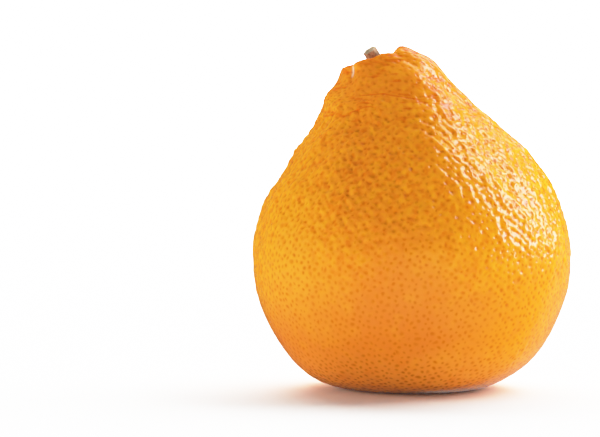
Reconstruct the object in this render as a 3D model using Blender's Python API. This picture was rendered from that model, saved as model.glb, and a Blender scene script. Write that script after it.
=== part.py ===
"""A necked satsuma mandarin, standing on the flat of its blossom end.

The fruit grew as one piece, so it is one solid. Its peel is a closed surface worked out from one meridian,
which runs from the blossom end, up over the shoulder and the neck, and down into the crater at the stem end.
The sections of the neck are shifted and tilted, so that it leans over. Points are spread over the surface as
seeds are on a sunflower head, and each triangle between them is dented at its middle, as the peel is over an
oil gland. The button (calyx) sits in the crater, and the cut stem stands on the button.
"""

import math

import bmesh
import bpy
import numpy as np

MM = 0.001

# The meridian: radius and height of its stations, from the flat of the blossom end to the crater.
FRUIT_RADIUS = 37.3 * MM
EQUATOR_HEIGHT = 32.0 * MM
FLAT_RADIUS = 13.0 * MM
HEEL_POWER = 2.05
SCAR_RADIUS = 3.5 * MM
SCAR_DEPTH = 0.8 * MM
LEVEL_WITHIN = 0.002 * MM
SHOULDER_RADIUS = 27.6 * MM
SHOULDER_HEIGHT = 54.6 * MM
NECK_RADIUS = 15.5 * MM
NECK_HEIGHT = 68.4 * MM
RIM_RADIUS = 6.9 * MM
RIM_HEIGHT = 77.6 * MM
CRATER_RADIUS = 4.4 * MM
CRATER_DEPTH = 2.6 * MM

# The neck leans towards this side (0 is +X, 90 is +Y), and its rim slopes down the same way.
LEAN_SIDE = math.radians(172.0)
LEAN_SHIFT = 9.5 * MM
LEAN_FROM = 46.5 * MM
LEAN_POWER = 2.2
RIM_SLOPE = math.radians(16.0)
SLOPE_FROM = 65.5 * MM

# Furrows that run out from the crater over the rim: side in degrees, depth and reach below the rim in millimetres.
FURROWS = (
    (-137.0, 0.5, 11.0),
    (-92.0, 0.25, 10.0),
    (-50.0, 0.4, 12.0),
    (22.0, 0.6, 15.0),
    (48.0, 1.0, 19.0),
    (82.0, 0.7, 12.0),
    (116.0, 1.1, 17.0),
    (150.0, 0.8, 14.0),
)
FURROW_WIDTH = math.radians(9.0)

# Lobes of the rim, and one dip in it: side in degrees, height in millimetres.
LOBES = (
    (-6.0, 0.7),
    (-172.0, -0.4),
    (62.0, 0.5),
    (99.0, 0.4),
)
LOBE_WIDTH = math.radians(24.0)
LOBE_REACH = 5.0 * MM

# Swellings and hollows of the neck: side in degrees, height, rise, width in degrees, and reach up and down, the
# lengths in millimetres.
SWELLINGS = (
    (178.0, 71.6, 1.2, 35.0, 2.8),
    (180.0, 63.0, -0.9, 40.0, 4.0),
    (0.0, 73.4, 0.4, 45.0, 2.0),
    (0.0, 69.2, -0.35, 45.0, 2.0),
    (0.0, 66.0, 1.0, 40.0, 4.0),
    (0.0, 57.0, 1.0, 40.0, 7.5),
)

# Relief of the peel: swells are its slow hollows and rises, lumps the coarse pebbling of the shoulder and neck.
SWELL_HEIGHT = 0.35 * MM
SWELL_LENGTH = 24.0 * MM
SWELL_SEED = 3
LUMP_HEIGHT = 0.22 * MM
LUMP_LENGTH = 8.5 * MM
LUMP_SEED = 8
WAVES = 14

# The oil glands, larger than life where the peel is smooth. Their depth is a share of the distance between them,
# the low one on the smooth body and the high one on the pebbled shoulder.
PEEL_POINTS = 1640
POINT_SEED = 21
JITTER = 0.25
NECK_CROWDING = 1.6
GLAND_DEPTH_LOW = 0.05
GLAND_DEPTH_HIGH = 0.11

# Rings of points that hold the flat and the crater to their true shape: radius, and points round each.
FLAT_RINGS = ((SCAR_RADIUS, 8), (0.5 * (SCAR_RADIUS + FLAT_RADIUS), 15), (FLAT_RADIUS, 22))
WALL_DEPTH = 0.55 * CRATER_DEPTH
FLOOR_POINTS = 14
WALL_POINTS = 18
CREST_POINTS = 24
POINT_SPACING = 2.4 * MM

# The button and the stem, which stand clear of the peel and of each other by this gap.
GAP = 0.3 * MM
CALYX_RADIUS = 3.4 * MM
CALYX_LOBES = 5
CALYX_LOBE_DEPTH = 0.13
CALYX_EDGE = 0.5 * MM
CALYX_HEIGHT = 1.1 * MM
STEM_RADIUS = 1.5 * MM
STEM_LENGTH = 3.1 * MM
STEM_LEAN = 0.9 * MM
STEM_RIBS = 6
STEM_RIB_DEPTH = 0.07
STEM_FLARE = 0.28
STEM_FLARE_HEIGHT = 0.8 * MM
CUT_SLOPE = math.radians(24.0)
CUT_SIDE = math.radians(-125.0)
PITH_DEPTH = 0.35 * MM

MERIDIAN_SAMPLES = 4000
GOLDEN_ANGLE = math.pi * (3.0 - math.sqrt(5.0))


def clear_scene():
    for obj in list(bpy.data.objects):
        bpy.data.objects.remove(obj)


def smoothstep(low, high, value):
    """0 below low, 1 above high, and an S between them."""
    share = np.clip((value - low) / (high - low), 0.0, 1.0)
    return share * share * (3.0 - 2.0 * share)


def rising_spline(points, count):
    """A cubic spline on the chord lengths of the points, which starts straight up and ends without a bend."""
    points = np.array(points)
    knots = np.concatenate([[0.0], np.cumsum(np.linalg.norm(np.diff(points, axis=0), axis=1))])
    gaps = np.diff(knots)[:, None]
    slopes = np.diff(points, axis=0) / gaps
    size = len(points)
    system = np.eye(size)
    rhs = np.zeros_like(points)
    system[0, :2] = 2.0 * gaps[0, 0], gaps[0, 0]
    rhs[0] = 6.0 * (slopes[0] - np.array([0.0, 1.0]))
    for i in range(1, size - 1):
        system[i, i - 1 : i + 2] = gaps[i - 1, 0], 2.0 * (gaps[i - 1, 0] + gaps[i, 0]), gaps[i, 0]
        rhs[i] = 6.0 * (slopes[i] - slopes[i - 1])
    curvature = np.linalg.solve(system, rhs)
    at = np.linspace(0.0, knots[-1], count)
    span = np.clip(np.searchsorted(knots, at, side="right") - 1, 0, size - 2)
    length = gaps[span]
    ahead = (at - knots[span])[:, None] / length
    behind = 1.0 - ahead
    bowed = (behind**3 - behind) * curvature[span] + (ahead**3 - ahead) * curvature[span + 1]
    return behind * points[span] + ahead * points[span + 1] + bowed * length**2 / 6.0


def meridian():
    """Radius and height along the meridian, at even lengths from the blossom end's middle to the crater's."""
    scar = np.linspace(0.0, 1.0, 60)
    scar_radius = scar * SCAR_RADIUS
    scar_height = SCAR_DEPTH * (0.5 + 0.5 * np.cos(math.pi * scar))
    quarter = np.linspace(0.0, 0.5 * math.pi, 500)
    heel_radius = FLAT_RADIUS + (FRUIT_RADIUS - FLAT_RADIUS) * np.sin(quarter) ** (2.0 / HEEL_POWER)
    heel_height = EQUATOR_HEIGHT * (1.0 - np.maximum(np.cos(quarter), 0.0) ** (2.0 / HEEL_POWER))
    upper = rising_spline(
        [
            (FRUIT_RADIUS, EQUATOR_HEIGHT),
            (SHOULDER_RADIUS, SHOULDER_HEIGHT),
            (NECK_RADIUS, NECK_HEIGHT),
            (RIM_RADIUS + 2.2 * MM, RIM_HEIGHT - 1.6 * MM),
            (RIM_RADIUS, RIM_HEIGHT),
            (CRATER_RADIUS + 0.9 * MM, RIM_HEIGHT - 0.7 * CRATER_DEPTH),
            (CRATER_RADIUS, RIM_HEIGHT - CRATER_DEPTH),
        ],
        1200,
    )
    radius = np.concatenate([scar_radius, heel_radius[1:], upper[1:, 0], [0.0]])
    height = np.concatenate([scar_height, heel_height[1:], upper[1:, 1], [RIM_HEIGHT - CRATER_DEPTH]])
    length = np.concatenate([[0.0], np.cumsum(np.hypot(np.diff(radius), np.diff(height)))])
    even = np.linspace(0.0, length[-1], MERIDIAN_SAMPLES)
    return np.interp(even, length, radius), np.interp(even, length, height), even


def waves(points, wavelength, seed):
    """A smooth random relief of about -1 to 1: plane waves of nearly one length, in random directions, summed."""
    draw = np.random.default_rng(seed)
    directions = draw.normal(size=(WAVES, 3))
    directions /= np.linalg.norm(directions, axis=1, keepdims=True)
    lengths = wavelength * draw.uniform(0.75, 1.35, WAVES)
    phases = draw.uniform(0.0, 2.0 * math.pi, WAVES)
    turns = points @ (directions * (2.0 * math.pi / lengths)[:, None]).T + phases
    return np.sin(turns).sum(axis=1) / math.sqrt(WAVES)


def angle_from(side, degrees):
    """How far an angle round the fruit is from one in degrees, the short way round."""
    return (side - math.radians(degrees) + math.pi) % (2.0 * math.pi) - math.pi


def swelling_relief(side, z):
    """Swellings and hollows of the neck, by the angle round it and the height."""
    relief = np.zeros_like(side)
    for degrees, height, rise, width, reach in SWELLINGS:
        across = angle_from(side, degrees) / math.radians(width)
        relief += rise * MM * np.exp(-(across**2) - ((z / MM - height) / reach) ** 2)
    return relief


def neck_relief(side, down):
    """Furrows cut into the rim and lobes raised on it, by the angle round it and the distance down from its crest."""
    relief = np.zeros_like(side)
    inside = smoothstep(-1.6 * CRATER_DEPTH, -0.7 * CRATER_DEPTH, down)
    for degrees, depth, reach in FURROWS:
        fade = 1.0 - smoothstep(0.15 * reach * MM, reach * MM, down)
        relief -= depth * MM * np.exp(-((angle_from(side, degrees) / FURROW_WIDTH) ** 2)) * fade
    for degrees, height in LOBES:
        fade = np.exp(-((down / LOBE_REACH) ** 2))
        relief += height * MM * np.exp(-((angle_from(side, degrees) / LOBE_WIDTH) ** 2)) * fade
    return relief * inside


def lean(points):
    """Shifts each level section of the neck sideways, and slopes the highest ones."""
    moved = points.copy()
    across = np.array([math.cos(LEAN_SIDE), math.sin(LEAN_SIDE)])
    height = points[:, 2]
    rise = np.maximum(height - LEAN_FROM, 0.0) / (RIM_HEIGHT - LEAN_FROM)
    moved[:, :2] += (LEAN_SHIFT * rise**LEAN_POWER)[:, None] * across
    slope = math.tan(RIM_SLOPE) * smoothstep(SLOPE_FROM, RIM_HEIGHT - CRATER_DEPTH, height)
    moved[:, 2] -= slope * (points[:, :2] @ across)
    return moved


def peel(side, along, curve):
    """Points of the peel at angles round the fruit and lengths along the meridian, with its relief."""
    radius, height, length = curve
    rho = np.interp(along, length, radius)
    z = np.interp(along, length, height)
    outward = np.interp(along, length, np.gradient(height, length))
    upward = -np.interp(along, length, np.gradient(radius, length))
    base = np.stack([rho * np.cos(side), rho * np.sin(side), z], axis=1)
    down = length[np.argmax(height)] - along
    outside = smoothstep(-0.5 * CRATER_DEPTH, 1.5 * CRATER_DEPTH, down)
    off_flat = smoothstep(FLAT_RADIUS + 1.5 * MM, FLAT_RADIUS + 12.0 * MM, rho)
    off_flat = np.maximum(off_flat, smoothstep(0.3 * EQUATOR_HEIGHT, EQUATOR_HEIGHT, z))
    relief = SWELL_HEIGHT * waves(base, SWELL_LENGTH, SWELL_SEED) * off_flat * outside
    pebbled = smoothstep(0.5 * EQUATOR_HEIGHT, SHOULDER_HEIGHT, z)
    relief += LUMP_HEIGHT * waves(base, LUMP_LENGTH, LUMP_SEED) * pebbled * outside
    relief += neck_relief(side, down) + swelling_relief(side, z) * outside
    rho = rho + relief * outward
    z = np.maximum(z + relief * upward, 0.0)
    return lean(np.stack([rho * np.cos(side), rho * np.sin(side), z], axis=1))


def ring(along, count, turn):
    """Angles and meridian lengths of points evenly round one level of the meridian."""
    side = 2.0 * math.pi * (np.arange(count) + turn) / count
    return side, np.full(count, along)


def sunflower(curve, first, last):
    """Angles and meridian lengths of points spread evenly between two levels, closer together on the neck."""
    radius, height, length = curve
    crowding = 1.0 + NECK_CROWDING * smoothstep(SHOULDER_HEIGHT, NECK_HEIGHT, height)
    weight = radius * crowding
    area = np.concatenate([[0.0], np.cumsum(0.5 * (weight[1:] + weight[:-1]))])
    low, high = np.interp([first, last], length, area)
    number = np.arange(PEEL_POINTS)
    draw = np.random.default_rng(POINT_SEED)
    share = (number + 0.5 + draw.uniform(-JITTER, JITTER, PEEL_POINTS)) / PEEL_POINTS
    along = np.interp(low + share * (high - low), area, length)
    rho = np.interp(along, length, radius)
    side = number * GOLDEN_ANGLE + draw.uniform(-JITTER, JITTER, PEEL_POINTS) * POINT_SPACING / rho
    return side % (2.0 * math.pi), along


def spread_points(curve):
    """All points of the fruit: the middle and rings of the flat, the sunflower, and the rings of the crater."""
    radius, height, length = curve
    crest_at = length[np.argmax(height)]
    floor_at = length[-1] - CRATER_RADIUS
    wall_at = np.interp(WALL_DEPTH, RIM_HEIGHT - height[length >= crest_at], length[length >= crest_at])
    blossom = length <= length[-1] / 4.0
    groups = [ring(0.0, 1, 0.0)]
    for number, (rho, count) in enumerate(FLAT_RINGS):
        groups.append(ring(np.interp(rho, radius[blossom], length[blossom]), count, 0.5 * number))
    flat_at = groups[-1][1][0]
    groups.append(sunflower(curve, flat_at + 0.5 * POINT_SPACING, crest_at - 0.4 * POINT_SPACING))
    groups.append(ring(crest_at, CREST_POINTS, 0.0))
    groups.append(ring(wall_at, WALL_POINTS, 0.5))
    groups.append(ring(floor_at, FLOOR_POINTS, 0.0))
    groups.append(ring(length[-1], 1, 0.0))
    side = np.concatenate([group[0] for group in groups])
    along = np.concatenate([group[1] for group in groups])
    return side, along


def conformal_sphere(side, along, curve):
    """Where the points fall on a unit sphere if small circles stay circles, so that its hull joins neighbours."""
    radius, height, length = curve
    kept = np.maximum(radius, 0.4 * MM)
    stretch = np.concatenate([[0.0], np.cumsum(np.diff(length) / (0.5 * (kept[1:] + kept[:-1])))])
    middle = stretch[np.argmax(radius)]
    level = np.tanh(np.interp(along, length, stretch) - middle)
    across = np.sqrt(1.0 - level**2)
    across[[0, -1]] = 0.0
    level[[0, -1]] = -1.0, 1.0
    return np.stack([across * np.cos(side), across * np.sin(side), level], axis=1)


def finish(name, color, roughness):
    """A Principled material. Nothing on a fruit is metal."""
    material = bpy.data.materials.new(name)
    material.use_nodes = True
    shader = material.node_tree.nodes["Principled BSDF"]
    shader.inputs["Base Color"].default_value = (*color, 1.0)
    shader.inputs["Roughness"].default_value = roughness
    shader.inputs["Metallic"].default_value = 0.0
    return material


def add_object(name, bm, material, sharp_angle):
    """Turns a bmesh into a smooth-shaded object, with edges steeper than sharp_angle left sharp."""
    bmesh.ops.recalc_face_normals(bm, faces=bm.faces)
    mesh = bpy.data.meshes.new(name)
    bm.to_mesh(mesh)
    bm.free()
    mesh.shade_smooth()
    mesh.set_sharp_from_angle(angle=sharp_angle)
    mesh.materials.append(material)
    obj = bpy.data.objects.new(name, mesh)
    bpy.context.scene.collection.objects.link(obj)
    return obj


def gland_depth(face):
    """Depth of the dent over an oil gland: shallow on the body, deep on the shoulder and neck."""
    high = smoothstep(EQUATOR_HEIGHT, SHOULDER_HEIGHT, face.calc_center_median().z)
    share = GLAND_DEPTH_LOW + (GLAND_DEPTH_HIGH - GLAND_DEPTH_LOW) * float(high)
    return share * math.sqrt(face.calc_area())


def make_fruit(curve):
    """The fruit: points on the peel, joined by the hull of their sphere, and dented between, but level on its flat.

    Returns the object and the centre that it was moved to the origin from.
    """
    side, along = spread_points(curve)
    points = peel(side, along, curve)
    centre = 0.5 * (points.min(axis=0) + points.max(axis=0))
    centre[2] = 0.0
    points -= centre
    points[points[:, 2] < LEVEL_WITHIN, 2] = 0.0
    crest_at = curve[2][np.argmax(curve[1])]
    bm = bmesh.new()
    for co in conformal_sphere(side, along, curve):
        bm.verts.new(co)
    bmesh.ops.convex_hull(bm, input=bm.verts)
    in_crater = set()
    for vertex, co, station in zip(bm.verts, points, along):
        vertex.co = co
        if station >= crest_at:
            in_crater.add(vertex)
    bm.normal_update()
    dented = []
    for face in bm.faces:
        flat = all(vertex.co.z == 0.0 for vertex in face.verts)
        if not flat and not in_crater.issuperset(face.verts):
            dented.append(face)
    dents = [face.normal * gland_depth(face) for face in dented]
    poked = bmesh.ops.poke(bm, faces=dented)
    for vertex, dent in zip(poked["verts"], dents):
        vertex.co -= dent
    fruit = add_object("fruit", bm, finish("satsuma peel", (0.87, 0.30, 0.02), 0.35), math.pi)
    return fruit, centre


def join_rings(rings, first, last):
    """A closed surface over rings of points, shape (rings, round, 3), with a middle point at each end."""
    count, around, _ = rings.shape
    bm = bmesh.new()
    rows = [[bm.verts.new(co) for co in row] for row in rings]
    for low, high in zip(rows, rows[1:]):
        for i in range(around):
            after = (i + 1) % around
            bm.faces.new((low[i], low[after], high[after], high[i]))
    for middle, row in ((bm.verts.new(first), rows[0]), (bm.verts.new(last), rows[-1])):
        for i in range(around):
            bm.faces.new((middle, row[i], row[(i + 1) % around]))
    return bm


def make_calyx():
    """The button: a low five-lobed disc, thin at its edge. Its origin is the middle of the crater's floor."""
    side = np.linspace(0.0, 2.0 * math.pi, 40, endpoint=False)
    edge = CALYX_RADIUS * (1.0 - CALYX_LOBE_DEPTH + CALYX_LOBE_DEPTH * np.cos(CALYX_LOBES * side))
    under = GAP
    stations = (
        (0.6, under),
        (0.97, under),
        (1.0, under + 0.5 * CALYX_EDGE),
        (0.94, under + CALYX_EDGE),
        (0.75, under + 0.5 * (CALYX_EDGE + CALYX_HEIGHT)),
        (0.5, under + CALYX_HEIGHT),
    )
    rings = np.array(
        [
            np.stack([share * edge * np.cos(side), share * edge * np.sin(side), np.full_like(side, level)], axis=1)
            for share, level in stations
        ]
    )
    bm = join_rings(rings, (0.0, 0.0, under), (0.0, 0.0, under + CALYX_HEIGHT))
    return add_object("calyx", bm, finish("dried calyx", (0.33, 0.24, 0.10), 0.75), math.radians(50.0))


def make_stem():
    """The stub: a ribbed stalk, flared at its foot and cut off on a slope, with its pith sunk in.

    Each ring is shifted the way that the neck leans, by its share of the stub's own lean.
    """
    side = np.linspace(0.0, 2.0 * math.pi, 36, endpoint=False)
    ribbed = STEM_RADIUS * (1.0 + STEM_RIB_DEPTH * np.cos(STEM_RIBS * side))
    foot = 2.0 * GAP + CALYX_HEIGHT
    aside = STEM_LEAN * np.array([math.cos(LEAN_SIDE), math.sin(LEAN_SIDE), 0.0])
    rings = []
    for share in (0.0, 0.08, 0.16, 0.3, 0.5, 0.75, 1.0):
        rise = share * STEM_LENGTH
        out = ribbed * (1.0 + STEM_FLARE * math.exp(-rise / STEM_FLARE_HEIGHT))
        drop = share * math.tan(CUT_SLOPE) * out * np.cos(side - CUT_SIDE)
        rings.append(np.stack([out * np.cos(side), out * np.sin(side), foot + rise - drop], axis=1) + share * aside)
    wood = 0.7 * ribbed
    drop = math.tan(CUT_SLOPE) * wood * np.cos(side - CUT_SIDE)
    top = foot + STEM_LENGTH
    rings.append(np.stack([wood * np.cos(side), wood * np.sin(side), top - drop], axis=1) + aside)
    bm = join_rings(np.array(rings), (0.0, 0.0, foot), (aside[0], aside[1], top - PITH_DEPTH))
    return add_object("stem", bm, finish("cut citrus stalk", (0.45, 0.38, 0.27), 0.8), math.radians(40.0))


def seat_in_crater(pieces, centre):
    """Parents the pieces to an empty in the middle of the crater's floor, turned square to it."""
    floor = lean(np.array([[0.0, 0.0, RIM_HEIGHT - CRATER_DEPTH]]))[0] - centre
    seat = bpy.data.objects.new("stem_end", None)
    bpy.context.scene.collection.objects.link(seat)
    seat.location = floor
    seat.rotation_mode = "AXIS_ANGLE"
    seat.rotation_axis_angle = (RIM_SLOPE, -math.sin(LEAN_SIDE), math.cos(LEAN_SIDE), 0.0)
    for piece in pieces:
        piece.parent = seat


clear_scene()
_, fruit_centre = make_fruit(meridian())
seat_in_crater([make_calyx(), make_stem()], fruit_centre)
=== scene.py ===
# %% [markdown]
# # A necked satsuma mandarin
#
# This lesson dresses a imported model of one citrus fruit. The model gives the frame: a solid for the fruit,
# one for the button in the crater at its stem end, and one for the cut stalk that stands on the button.
# Here each solid gets a finer surface of the same form and size, and a finish made of nodes. The peel takes
# most of the work, because its oil glands are what makes a lump of orange read as a citrus fruit.

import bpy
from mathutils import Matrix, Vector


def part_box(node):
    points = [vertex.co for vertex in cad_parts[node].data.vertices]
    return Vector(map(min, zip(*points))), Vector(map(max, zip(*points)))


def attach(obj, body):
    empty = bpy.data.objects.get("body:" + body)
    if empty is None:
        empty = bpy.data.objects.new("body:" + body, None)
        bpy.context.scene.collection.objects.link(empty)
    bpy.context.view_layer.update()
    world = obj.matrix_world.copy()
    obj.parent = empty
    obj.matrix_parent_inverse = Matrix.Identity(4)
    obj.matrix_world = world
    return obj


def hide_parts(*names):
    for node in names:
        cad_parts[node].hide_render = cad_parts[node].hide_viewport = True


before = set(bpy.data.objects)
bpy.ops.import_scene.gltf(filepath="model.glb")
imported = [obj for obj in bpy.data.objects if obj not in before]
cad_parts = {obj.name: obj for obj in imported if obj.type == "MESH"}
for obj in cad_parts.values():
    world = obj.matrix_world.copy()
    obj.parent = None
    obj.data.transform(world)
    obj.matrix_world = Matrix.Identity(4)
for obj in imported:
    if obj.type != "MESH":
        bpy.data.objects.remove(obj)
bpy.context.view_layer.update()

# %% [markdown]
# Everything below is worked out with numpy on whole arrays. Lengths are in metres, as in the frame, so a
# millimetre gets a name. An S-shaped step is the brush of the whole lesson: it fades one kind of relief or
# colour into another without a visible edge.

# %% Modules and two helpers
import math

import bpy
import numpy as np

MM = 0.001
TURN = 2.0 * math.pi


def smoothstep(low, high, value):
    """0 below low, 1 above high, and between them 3t^2 - 2t^3 of the share t of the way."""
    share = np.clip((value - low) / (high - low), 0.0, 1.0)
    return share * share * (3.0 - 2.0 * share)


def linear(code):
    """An sRGB colour in hex as the linear red, green, blue and alpha that shaders take."""
    shares = np.array([int(code[i : i + 2], 16) for i in (0, 2, 4)]) / 255.0
    colour = np.where(shares <= 0.04045, shares / 12.92, ((shares + 0.055) / 1.055) ** 2.4)
    return (*colour.tolist(), 1.0)


# %% [markdown]
# ## The camera
#
# The fruit is seen from table height with a long lens, from about 70 cm away. A long lens far away keeps the
# sides of the fruit as round as they are, where a short one close by would swell its middle. The lens follows
# from how many pixels a metre covers at the fruit, and the camera is set beside the fruit's middle by as much
# as the fruit stands off the picture's middle, so that no shift is needed.

# %% Set up the camera
PICTURE_WIDTH = 600
PICTURE_HEIGHT = 437
FRUIT_PIXEL = (411.3, 217.8)
PIXELS_PER_METRE = 4253.0
CAMERA_DISTANCE = 0.70
CAMERA_RISE = math.radians(2.7)
FRUIT_MIDDLE = np.array([0.0, 0.0, 40.0 * MM])
SENSOR_WIDTH = 36.0
NEAREST_SEEN = 0.01
FARTHEST_SEEN = 50.0


def make_camera():
    """A camera that looks along +Y and a little down, with the fruit's middle at its pixel."""
    data = bpy.data.cameras.new("camera")
    data.sensor_fit = "HORIZONTAL"
    data.sensor_width = SENSOR_WIDTH
    data.lens = SENSOR_WIDTH * PIXELS_PER_METRE * CAMERA_DISTANCE / PICTURE_WIDTH
    data.clip_start = NEAREST_SEEN
    data.clip_end = FARTHEST_SEEN
    camera = bpy.data.objects.new("camera", data)
    bpy.context.scene.collection.objects.link(camera)
    right = np.array([1.0, 0.0, 0.0])
    up = np.array([0.0, math.sin(CAMERA_RISE), math.cos(CAMERA_RISE)])
    back = np.array([0.0, -math.cos(CAMERA_RISE), math.sin(CAMERA_RISE)])
    aside = (FRUIT_PIXEL[0] - 0.5 * PICTURE_WIDTH) / PIXELS_PER_METRE
    above = (0.5 * PICTURE_HEIGHT - FRUIT_PIXEL[1]) / PIXELS_PER_METRE
    camera.location = FRUIT_MIDDLE - aside * right - above * up + CAMERA_DISTANCE * back
    camera.rotation_euler = (0.5 * math.pi - CAMERA_RISE, 0.0, 0.0)
    return camera


bpy.context.scene.camera = make_camera()
print(f"lens: {bpy.context.scene.camera.data.lens:.1f} mm")

# %% [markdown]
# ## The studio
#
# A fruit on a white table in a white studio. A broad softbox and panels on every side light matt surfaces
# only. They are kept out of the gloss, as a polarising filter on the lens would keep them out, because a waxy
# peel that mirrors white from all sides looks dusty. Three lights that only the gloss sees, in the blue of
# daylight, draw its bright spots: a tall softbox on the right, a smaller one above it, and a strip towards
# the back for the rim. The gloss doesn't mirror the table, and sees a faint strip below it instead. All of
# them stand far away and are large, so that the table is lit as evenly as the fruit.

# %% One helper for nodes
def add_node(tree, kind, inputs=(), **settings):
    """Adds a node with settings of its own. Inputs gives each socket a value or another node's socket."""
    node = tree.nodes.new(kind)
    for name, value in settings.items():
        setattr(node, name, value)
    for socket, value in dict(inputs).items():
        if isinstance(value, bpy.types.NodeSocket):
            tree.links.new(value, node.inputs[socket])
        else:
            node.inputs[socket].default_value = value
    return node


# %% Light the studio
BACKDROP_SEEN = 4.0
BACKDROP_LIGHT = 0.05
BACKDROP_GLOSS = 0.06
TABLE_SIZE = 3.0
TABLE_WHITE = "FAFAFA"
LIGHT_DISTANCE = 4.0
LIGHT_WHITE = "FFFEFC"
COOL_DAYLIGHT = (0.92, 0.93, 1.18)

# Lights: name, azimuth, elevation, width and height as seen from the fruit, radiance, and what it lights. The
# angles are in degrees, and azimuth 0 is the camera's side, 90 is +X.
LIGHTS = (
    ("gloss softbox", 99.0, 23.0, (23.0, 38.0), 10.0, "gloss"),
    ("high gloss softbox", 110.0, 51.0, (20.0, 18.0), 7.5, "gloss"),
    ("rim gloss strip", 160.0, 38.0, (18.0, 44.0), 1.1, "gloss"),
    ("body softbox", 117.0, 36.0, (38.0, 52.0), 7.8, "matt"),
    ("low strip", 150.0, -16.0, (50.0, 36.0), 0.3, "both"),
    ("right panel", 101.0, 8.0, (50.0, 16.0), 4.4, "matt"),
    ("left panel", -92.0, 12.0, (60.0, 20.0), 4.2, "matt"),
    ("left front panel", -60.0, 50.0, (24.0, 24.0), 0.8, "matt"),
    ("low front panel", 0.0, 5.0, (80.0, 10.0), 3.0, "matt"),
    ("low back panel", 180.0, 15.0, (80.0, 30.0), 5.0, "matt"),
    ("high back panel", 180.0, 48.0, (60.0, 34.0), 9.0, "matt"),
)


def make_world():
    """Plain white to the camera, and nearly dark as a light on matt surfaces and in gloss."""
    world = bpy.data.worlds.new("white studio")
    world.use_nodes = True
    tree = world.node_tree
    tree.nodes.clear()
    ray = add_node(tree, "ShaderNodeLightPath").outputs
    sockets = {0: ray["Is Glossy Ray"], 2: BACKDROP_LIGHT, 3: BACKDROP_GLOSS}
    unseen = add_node(tree, "ShaderNodeMix", sockets, data_type="FLOAT").outputs[0]
    sockets = {0: ray["Is Camera Ray"], 2: unseen, 3: BACKDROP_SEEN}
    strength = add_node(tree, "ShaderNodeMix", sockets, data_type="FLOAT").outputs[0]
    background = add_node(tree, "ShaderNodeBackground", {0: (1.0, 1.0, 1.0, 1.0), 1: strength})
    add_node(tree, "ShaderNodeOutputWorld", {0: background.outputs[0]})
    bpy.context.scene.world = world


def add_softbox(name, azimuth, elevation, spread, radiance, lit):
    """Adds a flat light that faces the fruit. Its power is its radiance times its area times pi.

    It lights the gloss, matt surfaces or both, and one for the gloss alone has the colour of cool daylight.
    """
    data = bpy.data.lights.new(name, "AREA")
    data.shape = "RECTANGLE"
    data.size, data.size_y = (2.0 * LIGHT_DISTANCE * math.tan(0.5 * math.radians(angle)) for angle in spread)
    data.energy = radiance * data.size * data.size_y * math.pi
    data.color = COOL_DAYLIGHT if lit == "gloss" else linear(LIGHT_WHITE)[:3]
    turn, lift = math.radians(azimuth), math.radians(elevation)
    light = bpy.data.objects.new(name, data)
    bpy.context.scene.collection.objects.link(light)
    way = np.array([math.sin(turn) * math.cos(lift), -math.cos(turn) * math.cos(lift), math.sin(lift)])
    light.location = FRUIT_MIDDLE + LIGHT_DISTANCE * way
    light.rotation_euler = (0.5 * math.pi - lift, 0.0, turn)
    light.visible_glossy = lit != "matt"
    light.visible_diffuse = lit != "gloss"


def make_table():
    """A wide matt white table top, which isn't part of the fruit. Gloss on the fruit doesn't mirror it."""
    half = 0.5 * TABLE_SIZE
    mesh = bpy.data.meshes.new("table")
    corners = [(-half, -half, 0.0), (half, -half, 0.0), (half, half, 0.0), (-half, half, 0.0)]
    mesh.from_pydata(corners, [], [(0, 1, 2, 3)])
    table = bpy.data.objects.new("table", mesh)
    bpy.context.scene.collection.objects.link(table)
    material = bpy.data.materials.new("matt white laminate")
    material.use_nodes = True
    shader = material.node_tree.nodes["Principled BSDF"]
    shader.inputs["Base Color"].default_value = linear(TABLE_WHITE)
    shader.inputs["Roughness"].default_value = 0.9
    shader.inputs["Specular IOR Level"].default_value = 0.1
    mesh.materials.append(material)
    table.visible_glossy = False


make_world()
make_table()
for light in LIGHTS:
    add_softbox(*light)

# %% [markdown]
# ## The camera's tone curve
#
# A camera doesn't clip its brightest colours; it lets them level off. That is why the lit side of an orange
# turns yellower in a photograph: its red has levelled off and its green still rises. The view settings take
# the same curve. It is straight up to a knee, and from there it nears white by an exponential.

# %% Set the tone curve
TONE_KNEE = 0.62
TONE_END = 4.0
TONE_STEPS = 14


def tone(light):
    """The light itself up to the knee, then the knee plus what an exponential leaves of the way to 1."""
    rest = 1.0 - TONE_KNEE
    return np.where(light < TONE_KNEE, light, TONE_KNEE + rest * (1.0 - np.exp((TONE_KNEE - light) / rest)))


def set_tone_curve():
    """Puts the curve into the view settings, as straight pieces that are shortest at the knee.

    Of the four curves there, the last is the one for all colours.
    """
    view = bpy.context.scene.view_settings
    view.view_transform = "Standard"
    view.use_curve_mapping = True
    mapping = view.curve_mapping
    mapping.white_level = (TONE_END, TONE_END, TONE_END)
    light = np.concatenate([[0.0], np.geomspace(TONE_KNEE, TONE_END, TONE_STEPS)])
    curve = mapping.curves[3]
    while len(curve.points) < len(light):
        curve.points.new(0.5, 0.5)
    for point, dark, bright in zip(curve.points, light / TONE_END, tone(light)):
        point.location = (dark, bright)
        point.handle_type = "VECTOR"
    mapping.update()


set_tone_curve()
print("shown for 0.5, 1, 2 and 3:", tone(np.array([0.5, 1.0, 2.0, 3.0])).round(3))

# %% [markdown]
# ## The form of the fruit
#
# The fruit is almost a turned shape, so it starts from one line, the meridian: flat at the blossom end, round
# over the body, hollow from shoulder to neck, and down into the crater at the stem end. It could be sculpted
# or built from metaballs, but a line with named radii and heights keeps every size in one place, and the
# solid has the same line. The stretch from the widest place up is a cubic spline, because the hollow of the
# shoulder has no flats or corners.

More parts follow.
